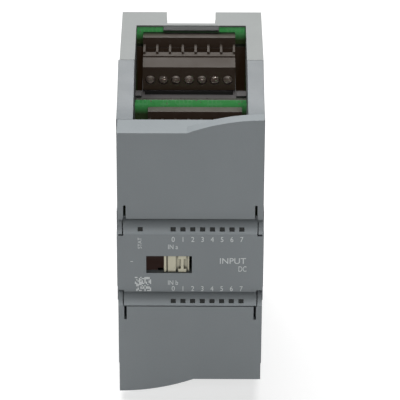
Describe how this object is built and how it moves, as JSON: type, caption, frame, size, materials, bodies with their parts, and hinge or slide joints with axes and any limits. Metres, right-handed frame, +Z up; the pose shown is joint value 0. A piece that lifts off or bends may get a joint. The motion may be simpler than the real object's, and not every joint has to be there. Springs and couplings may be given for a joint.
{
  "type": "plc input module",
  "caption": "DIN rail plc input module with hinged terminal covers, stepped pull-off terminal blocks, light windows, a side bus slider and sliding rail clips.",
  "frame": {"origin": "middle of the face that seats on the DIN rail", "axes": "+Z up along the module's height, +Y towards the rail, +X to the right seen from the front; the covers face -Y"},
  "size_m": [0.045, 0.075, 0.1],
  "materials": {
    "light_grey_plastic": "fine satin moulding texture",
    "grey_plastic": "fine satin moulding texture",
    "dark_grey_plastic": "fine satin moulding texture",
    "circuit_board": "green solder mask",
    "light_guide": "clear dark pipe, polished end",
    "light_chip": "small clear chip",
    "black_resin": "moulded resin",
    "ceramic": "ceramic chip",
    "can_metal": "drawn can",
    "shelf_plastic": "moulded, slightly glossy",
    "connector_plastic": "moulded",
    "contact_metal": "tinned contact",
    "beige_plastic": "moulded, slightly glossy",
    "clip_plastic": "moulded",
    "terminal_plastic": "moulded, slightly glossy",
    "screw_metal": "plated, slotted head"
  },
  "bodies": {
    "housing": {"rear_housing": "light_grey_plastic", "front_shell": "grey_plastic", "front_panel": "dark_grey_plastic", "front_board": "circuit_board", "rear_board": "circuit_board", "upper_light_guide": "light_guide", "lower_light_guide": "light_guide", "status_led_chips": "light_chip", "optocouplers": "black_resin", "input_resistors": "ceramic", "controller_chip": "black_resin", "capacitors": "can_metal", "board_link_socket": "black_resin", "board_link_plug": "black_resin", "upper_terminal_shelf": "shelf_plastic", "lower_terminal_shelf": "shelf_plastic", "bus_socket": "connector_plastic", "bus_socket_contacts": "contact_metal", "upper_rear_header": "terminal_plastic", "upper_rear_header_pins": "contact_metal", "upper_front_header": "terminal_plastic", "upper_front_header_pins": "contact_metal", "lower_rear_header": "terminal_plastic", "lower_rear_header_pins": "contact_metal", "lower_front_header": "terminal_plastic", "lower_front_header_pins": "contact_metal"},
    "upper_cover": {"upper_cover": "dark_grey_plastic"},
    "lower_cover": {"lower_cover": "dark_grey_plastic"},
    "bus_carriage": {"bus_carriage": "connector_plastic", "bus_slider": "beige_plastic", "bus_plug_pins": "contact_metal"},
    "bus_socket_cap": {"bus_socket_cap": "grey_plastic"},
    "upper_rail_clip": {"upper_rail_clip": "clip_plastic"},
    "lower_rail_clip": {"lower_rail_clip": "clip_plastic"},
    "upper_rear_plug": {"upper_rear_plug": "terminal_plastic", "upper_rear_terminal_screws": "screw_metal", "upper_rear_wire_cages": "contact_metal"},
    "upper_front_plug": {"upper_front_plug": "terminal_plastic", "upper_front_terminal_screws": "screw_metal", "upper_front_wire_cages": "contact_metal"},
    "lower_rear_plug": {"lower_rear_plug": "terminal_plastic", "lower_rear_terminal_screws": "screw_metal", "lower_rear_wire_cages": "contact_metal"},
    "lower_front_plug": {"lower_front_plug": "terminal_plastic", "lower_front_terminal_screws": "screw_metal", "lower_front_wire_cages": "contact_metal"}
  },
  "joints": [
    {"name": "upper_cover_hinge", "type": "hinge", "parent": "housing", "child": "upper_cover", "pos_m": [0, -0.06667, 0.0112], "axis": [1, 0, 0], "range_deg": [0, 110]},
    {"name": "lower_cover_hinge", "type": "hinge", "parent": "housing", "child": "lower_cover", "pos_m": [0, -0.06667, -0.01395], "axis": [-1, 0, 0], "range_deg": [0, 110]},
    {"name": "bus_carriage_slide", "type": "slide", "parent": "housing", "child": "bus_carriage", "axis": [-1, 0, 0], "range_m": [0, 0.0054]},
    {"name": "bus_socket_cap_slide", "type": "slide", "parent": "housing", "child": "bus_socket_cap", "axis": [1, 0, 0], "range_m": [0, 0.01]},
    {"name": "upper_rail_clip_slide", "type": "slide", "parent": "housing", "child": "upper_rail_clip", "axis": [0, 0, 1], "range_m": [0, 0.0145]},
    {"name": "lower_rail_clip_slide", "type": "slide", "parent": "housing", "child": "lower_rail_clip", "axis": [0, 0, -1], "range_m": [0, 0.0145]},
    {"name": "upper_rear_plug_slide", "type": "slide", "parent": "housing", "child": "upper_rear_plug", "axis": [0, -1, 0], "range_m": [0, 0.012]},
    {"name": "upper_front_plug_slide", "type": "slide", "parent": "housing", "child": "upper_front_plug", "axis": [0, -1, 0], "range_m": [0, 0.012]},
    {"name": "lower_rear_plug_slide", "type": "slide", "parent": "housing", "child": "lower_rear_plug", "axis": [0, -1, 0], "range_m": [0, 0.012]},
    {"name": "lower_front_plug_slide", "type": "slide", "parent": "housing", "child": "lower_front_plug", "axis": [0, -1, 0], "range_m": [0, 0.012]}
  ]
}
